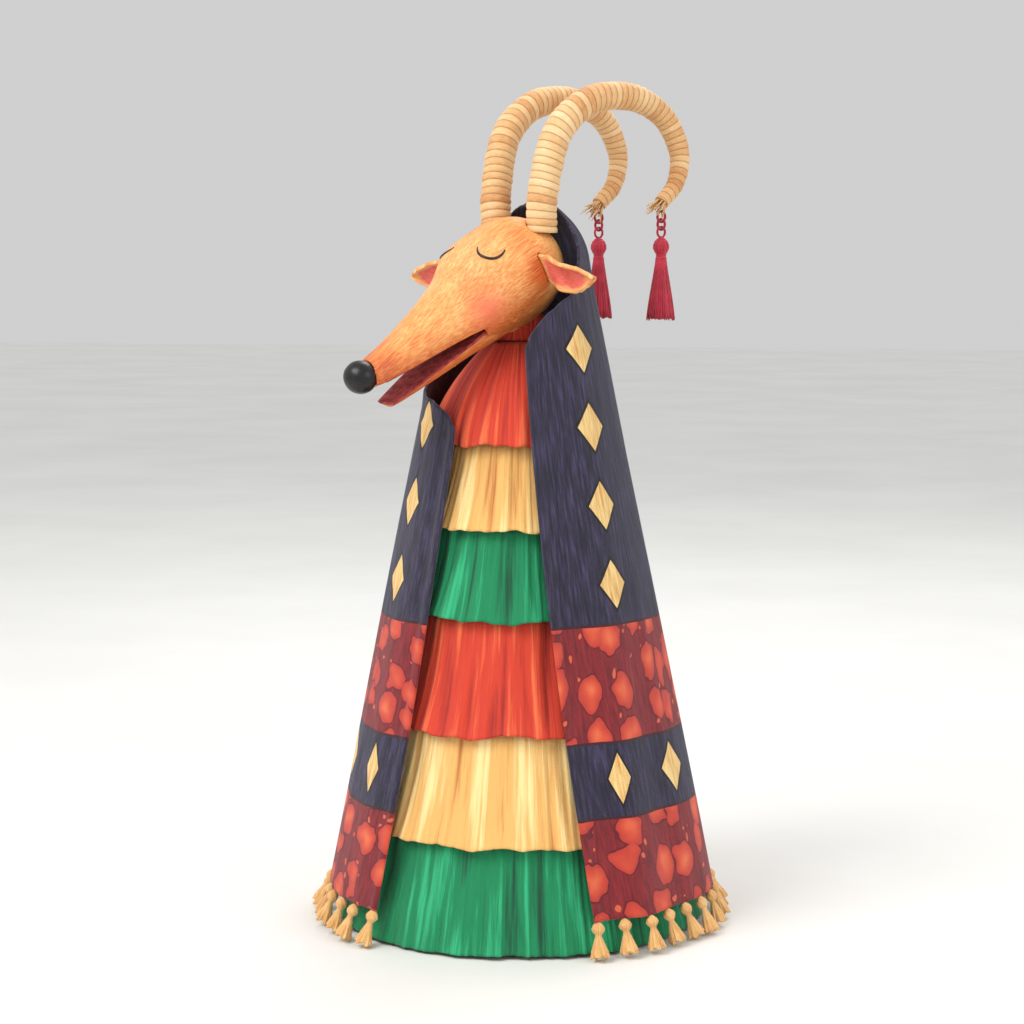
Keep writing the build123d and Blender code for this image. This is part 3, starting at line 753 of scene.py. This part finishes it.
def fringe_yarn():
    """Knotted yarn ends, each with a round knot, a bound neck and an open skirt."""
    build = Build()
    splay = math.radians(22.0)
    shape = [(0.0, 0.9), (0.05, 2.2), (0.12, 3.3), (0.2, 3.75), (0.28, 3.3), (0.34, 2.2), (0.385, 1.75),
             (0.43, 2.05), (0.55, 2.9), (0.7, 3.6), (0.85, 4.3), (1.0, 4.9)]
    step = (360.0 - CAPE_OPENING) / FRINGE_COUNT
    for k in range(FRINGE_COUNT):
        degrees = CAPE_OPENING / 2 + step * (k + 0.5)
        out = around(degrees, 1.0, 0.0)
        across = around(degrees + 90, 1.0, 0.0)
        lean = splay + rng.uniform(-0.07, 0.07)
        sway = rng.uniform(-0.12, 0.12)
        down = (-UP * math.cos(lean) + out * math.sin(lean) + across * sway).normalized()
        side = (across - down * across.dot(down)).normalized()
        front = down.cross(side)
        start = around(degrees, hem_radius(degrees) + 0.2, 21.0)
        length = (start.z - 2.4) / -down.z * rng.uniform(0.95, 1.0)
        seed = rng.uniform(0, 50)
        rows, cols = 30, 40

        def place(i, j):
            s, a = i / rows, 2 * math.pi * j / cols
            r = table(shape, s)
            open_share = smooth((s - 0.42) / 0.5)
            knot = 1 - smooth((s - 0.3) / 0.1)
            ends = 0.16 * math.sin(9 * a + seed) + 0.1 * math.sin(14 * a + 2 * seed)
            r *= 1 + open_share * ends + knot * 0.05 * math.sin(6 * a + 24 * s)
            ragged = 0.05 * math.sin(5 * a + seed) * smooth((s - 0.8) / 0.2)
            radial = side * math.cos(a) + front * math.sin(a) * 0.85
            point = start + down * (length * (s + ragged)) + radial * r
            point.z = max(point.z, 0.6)
            return point

        base, width = build.grid(rows, cols, place, lambda i, j: (j / cols * 0.9, i / rows * 0.9), True)
        build.cap(base, width, 0, True)
        build.cap(base, width, rows, False)
    ob = build.make("fringe_yarn")
    paint(ob, FRINGE)
    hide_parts("shawl_fringe")
    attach(ob, "stand")
    return ob


shawl = shawl_cloth()
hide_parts("shawl_cape", "shawl_hood")
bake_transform(shawl)
fringe = fringe_yarn()


# ---- head ----
def local_of(point):
    """(along, side, high) of a point in metres, in the head's own frame, in millimetres."""
    v = point / MM - HEAD_CENTRE
    return v.dot(HEAD_AXIS), v.dot(LEFT), v.dot(HEAD_UP)


def mound(x, y, z, at, size):
    """1 at the place given, fading over size in each direction."""
    return math.exp(-sum(((v - centre) / wide) ** 2 for v, centre, wide in zip((x, y, z), at, size)))


def carve(ob, relief):
    """Brow, lids and cheeks, with places of painted shade and of blushed paint. Faces inside the mouth sink
    by relief."""
    mesh = ob.data
    locals_, painted_shade, blush = [], [], []
    moved = []
    for vertex in mesh.vertices:
        x, y, z = local_of(vertex.co)
        side = abs(y)
        rise = 3.4 * mound(x, side, z, (24, 19, 22), (15, 8.5, 13))
        rise += 0.9 * mound(x, side, z, (26, 13, 26), (7, 6.5, 10))
        rise += 1.6 * mound(x, side, z, (42, 22, -4), (13, 8, 9))
        rise -= 0.9 * mound(x, side, z, (66, 17, 4), (16, 9, 8))
        rise += 0.25 * noise.noise(Vector((x * 0.05, y * 0.16, z * 0.16)))
        inward = -vertex.normal.dot(LEFT) * (1 if y > 0 else -1)
        inside = max(smooth((-vertex.normal.dot(HEAD_UP) - 0.4) / 0.4), smooth((inward - 0.25) / 0.4))
        rise = mix(rise, -relief, inside) if relief else rise
        moved.append(vertex.co + vertex.normal * (rise * MM))
        locals_.append((x, y, z))
        # painted shade: darker under the muzzle and along the mouth, at the nose tip, on the cheek sides and
        # behind the eyes
        shade_amount = mound(x, 0, 0, (118, 0, 0), (26, 1, 1)) * 0.8
        shade_amount += smooth((4 - z) / 16) * 0.6 * smooth((x + 5) / 40)
        shade_amount += 0.7 * mound(x, side, z, (4, 33, 4), (10, 12, 14))
        shade_amount += 0.5 * mound(x, side, z, (0, 20, 30), (9, 11, 12))
        painted_shade.append(min(shade_amount, 1.0))
        blush.append(min(0.9 * mound(x, side, z, (42, 24, 0), (12, 11, 11)), 1.0))
    for vertex, place in zip(mesh.vertices, moved):
        vertex.co = place
    mesh.update()
    point_vectors(ob, "local", locals_)
    point_values(ob, "painted_shade", painted_shade)
    point_values(ob, "blush", blush)
    paint(ob, HEAD)


PIN_ALONG, PIN_HIGH, PIN_END, CHEEK_SKIN, PLUG_R = 28.0, -15.5, 21.6, 24.6, 2.3
plugs = []
for sign in (1, -1):
    plug_ends = [head_point(PIN_ALONG, sign * side, PIN_HIGH) for side in (PIN_END, CHEEK_SKIN)]
    plugs.append((*plug_ends, PLUG_R))
MOUTH_RELIEF = 0.6
head = rounded_copy("head_block", "carved_head", 0.8, 9, plugs)
carve(head, MOUTH_RELIEF)
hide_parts("head_block")
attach(head, "head")
jaw = rounded_copy("lower_jaw", "carved_jaw", 0.7, 9)
carve(jaw, 0.0)
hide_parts("lower_jaw")
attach(jaw, "jaw")
skin = BVHTree.FromPolygons([v.co for v in head.data.vertices], [p.vertices for p in head.data.polygons])


def on_skin(along, side, high, way):
    """The head's surface met from outside along way, in millimetres."""
    start = head_point(along, side, high) - way * 60
    hit = skin.ray_cast(start * MM, way)
    return hit[0] / MM if hit[0] else head_point(along, side, high)


def skin_line(name, points, width, material):
    """A painted line, a little proud of the head."""
    rows = 40
    path, _ = even(catmull(points, 6), rows)
    build = Build()

    def radius(i, angle):
        along = min(max(i / rows, 0.04), 0.96)
        return width * (0.35 + 0.65 * math.sin(math.pi * along) ** 0.6)

    sweep(build, path, radius, 10)
    ob = build.make(name)
    paint(ob, material)
    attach(ob, "head")
    return ob


EYE_AT, EYE_SIDE, EYE_HALF, EYE_DROP, EYE_SLANT = 18.0, 16.5, 8.2, 9.0, math.radians(26)
for sign, side_name in ((1, "left"), (-1, "right")):
    arc = []
    for k in range(13):
        a = mix(-1.35, 1.35, k / 12)
        wide = EYE_HALF * math.sin(a) / math.sin(1.35)
        down = EYE_DROP * (math.cos(a) - math.cos(1.35)) / (1 - math.cos(1.35))
        across = EYE_SIDE + wide * math.cos(EYE_SLANT) + down * math.sin(EYE_SLANT)
        along = EYE_AT - wide * math.sin(EYE_SLANT) + down * math.cos(EYE_SLANT)
        way = (-HEAD_UP - LEFT * sign * 0.25).normalized()
        arc.append(on_skin(along, sign * across, 22, way))
    line = skin_line(f"{side_name}_closed_eye", arc, 0.85, INK)


def nose_ball():
    """A black ball with two shallow nostrils."""
    low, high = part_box("nose")
    centre, radius = (low + high) / 2, (high - low).x / 2
    shape = bmesh.new()
    bmesh.ops.create_icosphere(shape, subdivisions=5, radius=1.0)
    for v in shape.verts:
        n = v.co.normalized()
        x, y, z = n.x, n.y, n.z
        dent = mound(x, abs(y), z, (0.55, 0.5, -0.25), (0.28, 0.16, 0.22))
        size = radius * (1.0 - 0.10 * dent + 0.012 * noise.noise(n * 2.2))
        v.co = centre + (HEAD_AXIS * x * 0.96 + LEFT * y * 1.03 + HEAD_UP * z * 0.98) * size
    mesh = bpy.data.meshes.new("nose_ball")
    shape.to_mesh(mesh)
    shape.free()
    mesh.polygons.foreach_set("use_smooth", [True] * len(mesh.polygons))
    ob = bpy.data.objects.new("nose_ball", mesh)
    bpy.context.scene.collection.objects.link(ob)
    paint(ob, NOSE)
    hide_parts("nose")
    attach(ob, "head")


nose_ball()


def ear_leaf(sign, side_name):
    sweep_angle, droop, twist = math.radians(10.0), math.radians(12.0), math.radians(28.0)
    flat = math.cos(droop)
    out = neck_point(math.sin(sweep_angle) * flat, sign * math.cos(sweep_angle) * flat, -math.sin(droop))
    face = neck_point(math.cos(twist), 0, -math.sin(twist))
    normal = (face - out * face.dot(out)).normalized()
    across = normal.cross(out)
    root = neck_point(HEAD_FORWARD - 1, sign * EAR_ROOT, HEAD_Z + 3)
    rows, cols = 60, 32
    widths = [(0.0, 7.9), (0.14, 8.0), (0.27, 9.8), (0.45, 11.0), (0.62, 10.6), (0.78, 8.2), (0.9, 4.9),
              (0.97, 2.2), (1.0, 0.5)]
    marks = []

    def place(i, j):
        s, v = i / rows, 2 * j / cols - 1
        x = mix(-EAR_DEPTH, EAR_LENGTH, s)
        half = table(widths, s)
        free = smooth((x - 8) / 14)
        cup = free * (0.42 * v * v * half - 1.2) + 1.3
        curl = free * (0.0035 * (x - 8) ** 2)
        wave = free * 0.7 * math.sin(0.22 * x + 1.6 * v)
        marks.append((s, v))
        breadth = v * half * (1 - 0.12 * free * abs(v))
        return root + out * x + across * breadth + normal * (cup + wave) + UP * curl * 0.6

    build = Build()
    build.grid(rows, cols, place, lambda i, j: (j / cols, i / rows), False)
    ob = build.make(f"{side_name}_ear_leaf")
    point_vectors(ob, "mark", [(s, v, 0) for s, v in marks])
    thicken(ob, 2.2, 0.0)
    mark = [tuple(d.vector) for d in ob.data.attributes["mark"].data]
    inside = []
    for vertex, (s, v, _) in zip(ob.data.vertices, mark):
        facing = vertex.normal.dot(normal) > 0.0
        lining = smooth((0.86 - abs(v)) / 0.22) * smooth((0.93 - s) / 0.12) * smooth((s - 0.14) / 0.1)
        inside.append(lining if facing else 0.0)
    point_values(ob, "inside", inside)
    paint(ob, EAR)
    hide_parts(f"{side_name}_ear")
    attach(ob, "head")


# ---- horns ----
STRAW_PITCH = 4.2


def horn_point(sign, back, high, share):
    """A point on a horn's centre line."""
    return neck_point(-back, sign * (HORN_HALF_SPACING + HORN_SPLAY * share), HORN_BASE_Z + high)


def horn(sign, side_name):
    smooth_route = catmull([horn_point(sign, *stop) for stop in HORN_ROUTE], 30)
    _, length = even(smooth_route, 10)
    turns = round(length / STRAW_PITCH)
    per_turn, segs = 9, 40
    rows = turns * per_turn
    path, _ = even(smooth_route, rows)
    radii = [(k / (len(HORN_RADII) - 1), r) for k, r in enumerate(HORN_RADII)]
    size = [rng.uniform(-0.02, 0.03) for _ in range(turns + 3)]

    def wobble(a):
        return 0.16 * math.sin(a + sign) + 0.07 * math.sin(2 * a)

    def radius(i, a):
        at = i / rows
        coil = i / per_turn + wobble(a)
        whole, part = int(max(coil, 0.0)), coil % 1
        (x0, r0), (x1, r1) = next(pair for pair in zip(radii, radii[1:]) if at <= pair[1][0] + 1e-9)
        base = mix(r0, r1, (at - x0) / (x1 - x0))
        swell = math.sin(math.pi * part) ** 0.55 * 0.085 - 0.05
        grain = noise.noise(Vector((math.cos(a) * 2, math.sin(a) * 2, i * 0.35 + sign * 50)))
        return base * (1 + swell + size[whole] * math.sin(math.pi * part)) + 0.14 * grain

    build = Build()
    def turn_uv(i, j):
        return j / segs, i / per_turn + wobble(2 * math.pi * j / segs)

    sweep(build, path, radius, segs, turn_uv, side=LEFT)
    ob = build.make(f"{side_name}_straw_horn")
    paint(ob, STRAW)
    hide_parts(f"{side_name}_horn")
    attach(ob, "head")

    tuft = Build()
    end, way = path[-1], (path[-1] - path[-6]).normalized()
    first = (LEFT - way * LEFT.dot(way)).normalized()
    second = way.cross(first)
    for k in range(46):
        a = rng.uniform(0, 2 * math.pi)
        from_axis = math.sqrt(rng.random()) * 3.3
        radial = first * math.cos(a) + second * math.sin(a)
        spread = from_axis / 3.3 * rng.uniform(0.12, 0.45)
        reach = rng.uniform(5.0, 10.5)
        start = end - way * 3.0 + radial * from_axis
        bend = UP * rng.uniform(-0.1, 0.2)
        points = []
        for t in (0, 0.25, 0.5, 0.75, 1.0):
            points.append(start + (way * t + radial * spread * t * t) * (reach + 3.0) + bend * t * t * 2)
        thick = rng.uniform(0.32, 0.55)
        strand, _ = even(catmull(points, 3), 6)
        sweep(tuft, strand, lambda i, angle: thick * (1 - 0.4 * i / 6), 6, lambda i, j: (j / 6, k + i / 7))
    ob = tuft.make(f"{side_name}_straw_tuft")
    paint(ob, STRAW)
    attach(ob, "head")


# ---- tassels ----
def tassel_top(sign):
    """The centre of the ring that hangs the tassel's rings from the horn."""
    return horn_point(sign, *HORN_ROUTE[-1]) - UP * (HORN_RADII[-1] + RING_R + RING_WIRE + 0.05)


def tassel(sign, side_name):
    centre = tassel_top(sign) - UP * (2 * RING_STEP)
    build = Build()
    # thread ring, twisted
    ring = []
    for k in range(49):
        a = 2 * math.pi * k / 48
        ring.append(centre + (FORWARD * math.cos(a) + UP * math.sin(a)) * RING_R)
    sweep(build, ring, lambda i, a: RING_WIRE * (0.92 + 0.1 * math.sin(2 * a + i * 1.3)), 12,
          lambda i, j: (j / 12, i / 8), side=LEFT, caps=False)
    top = centre - UP * RING_R
    # wound head and bound neck
    shape = [(0.0, 1.3), (0.08, 2.7), (0.2, 3.9), (0.36, 4.6), (0.52, 4.7), (0.68, 4.0), (0.8, 3.0),
             (0.88, 2.75), (0.96, 3.1), (1.0, 3.3)]

    def bead(i, j):
        s, a = i / 44, 2 * math.pi * j / 72
        r = table(shape, s) * (1 + 0.045 * math.sin(18 * a) * math.sin(math.pi * min(s / 0.8, 1.0)))
        if s > 0.78:
            r += 0.28 * abs(math.sin(math.pi * (s - 0.78) / 0.055))
        return top - UP * (12.6 * s) + (FORWARD * math.cos(a) + LEFT * math.sin(a)) * r

    base, width = build.grid(44, 72, bead, lambda i, j: (j / 72, i / 44), True)
    build.cap(base, width, 0, True)
    # skirt of threads round a closed core
    neck = top - UP * 12.0

    def core(i, j):
        s, a = i / 24, 2 * math.pi * j / 96
        r = mix(2.4, 7.6, smooth(s * 0.9 + 0.1) * 0.35 + s * 0.65) * (1 + 0.06 * math.sin(16 * a + sign))
        return neck - UP * (36.2 * s) + (FORWARD * math.cos(a) + LEFT * math.sin(a)) * r

    base, width = build.grid(24, 96, core, lambda i, j: (j / 96 * 3, i / 24), True)
    build.cap(base, width, 24, False)
    for k in range(74):
        a = 2 * math.pi * k / 74 + rng.uniform(-0.04, 0.04)
        wide = rng.uniform(7.3, 8.3)
        drop = rng.uniform(35.4, 37.4)
        sway = rng.uniform(-0.05, 0.05)
        points = []
        for step in range(8):
            s = step / 7
            r = mix(2.7, wide, smooth(s * 0.9 + 0.1) * 0.35 + s * 0.65)
            b = a + sway * math.sin(math.pi * s)
            points.append(neck - UP * (drop * s) + (FORWARD * math.cos(b) + LEFT * math.sin(b)) * r)
        sweep(build, points, lambda i, angle: 0.42, 6, lambda i, j: (k * 0.37 + j / 18, i / 7))
    ob = build.make(f"{side_name}_thread_tassel")
    paint(ob, TASSEL)
    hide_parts(f"{side_name}_tassel")
    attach(ob, f"{side_name}_tassel")


for sign, side_name in ((1, "left"), (-1, "right")):
    ear_leaf(sign, side_name)
    horn(sign, side_name)
    tassel(sign, side_name)

# ---- CAD nodes that stay ----
RING_THREAD = plain_look("ring_thread", tint(120, 10, 28), tint(190, 30, 54), 500.0, 0.6, 0.2)
KEPT = [(node, TURNED) for node in ("base_disc", "pole", "shoulder_block", "neck_washer")]
KEPT += [("base_screw", STEEL), ("palate_lining", MOUTH), ("jaw_lining", MOUTH), ("jaw_pin", WIRE)]
KEPT += [(f"rib_lath_{k}", WILLOW) for k in range(1, 7)] + [(f"hoop_{k}", WILLOW) for k in range(2, 7)]
for side in ("left", "right"):
    KEPT += [(f"{side}_horn_core", WIRE)]
    KEPT += [(f"{side}_{part}", RING_THREAD) for part in ("horn_eye", "tassel_ring")]
for node, material in KEPT:
    ob = nodes[node]
    if not ob.material_slots:
        ob.data.materials.append(None)
    for holder in ob.material_slots:
        holder.link = "OBJECT"
        holder.material = material

# ---- stage ----
floor_mesh = bpy.data.meshes.new("floor")
floor_mesh.from_pydata([(-9, -9, 0), (9, -9, 0), (9, 9, 0), (-9, 9, 0)], [], [(0, 1, 2, 3)])
floor = bpy.data.objects.new("floor", floor_mesh)
bpy.context.scene.collection.objects.link(floor)
paint(floor, plain_look("floor_paper", tint(226, 224, 218), tint(232, 230, 224), 3.0, 0.9, 0.0))

world = bpy.data.worlds.new("studio")
bpy.context.scene.world = world
world.use_nodes = True
sky = world.node_tree
lit = sky.nodes["Background"]
lit.inputs[0].default_value, lit.inputs[1].default_value = (0.95, 0.97, 1.0, 1.0), 0.8
seen = sky.nodes.new("ShaderNodeBackground")
seen.inputs[0].default_value, seen.inputs[1].default_value = (0.95, 0.95, 0.95, 1.0), 0.66
chosen = sky.nodes.new("ShaderNodeMixShader")
rays = sky.nodes.new("ShaderNodeLightPath")
sky.links.new(rays.outputs["Is Camera Ray"], chosen.inputs[0])
sky.links.new(lit.outputs[0], chosen.inputs[1])
sky.links.new(seen.outputs[0], chosen.inputs[2])
sky.links.new(chosen.outputs[0], sky.nodes["World Output"].inputs[0])


MIDDLE = Vector((0, 0, 0.26))


def towards(azimuth, elevation):
    """The direction from the goat to something at this azimuth and elevation, in degrees."""
    a, e = math.radians(azimuth), math.radians(elevation)
    return Vector((math.sin(a) * math.cos(e), -math.cos(a) * math.cos(e), math.sin(e)))


def soft_light(name, azimuth, elevation, distance, size, power):
    data = bpy.data.lights.new(name, "AREA")
    data.size, data.energy = size, power
    ob = bpy.data.objects.new(name, data)
    back = towards(azimuth, elevation)
    ob.location = MIDDLE + back * distance
    ob.rotation_euler = (-back).to_track_quat("-Z", "Y").to_euler()
    bpy.context.scene.collection.objects.link(ob)


soft_light("key", -38, 42, 1.7, 0.9, 20)
soft_light("fill", 62, 22, 1.9, 1.2, 9)
soft_light("back", 170, 50, 1.8, 1.0, 12)

AZIMUTH, ELEVATION, DISTANCE = 12.0, 6.0, 1.42
LOOK_AT = Vector((-0.005, 0, 0.238))
camera_data = bpy.data.cameras.new("camera")
camera_data.lens, camera_data.sensor_width = 85, 36
camera = bpy.data.objects.new("camera", camera_data)
back = towards(AZIMUTH, ELEVATION)
camera.location = LOOK_AT + back * DISTANCE
camera.rotation_euler = (-back).to_track_quat("-Z", "Y").to_euler()
bpy.context.scene.collection.objects.link(camera)
bpy.context.scene.camera = camera
bpy.context.scene.view_settings.view_transform = "Standard"
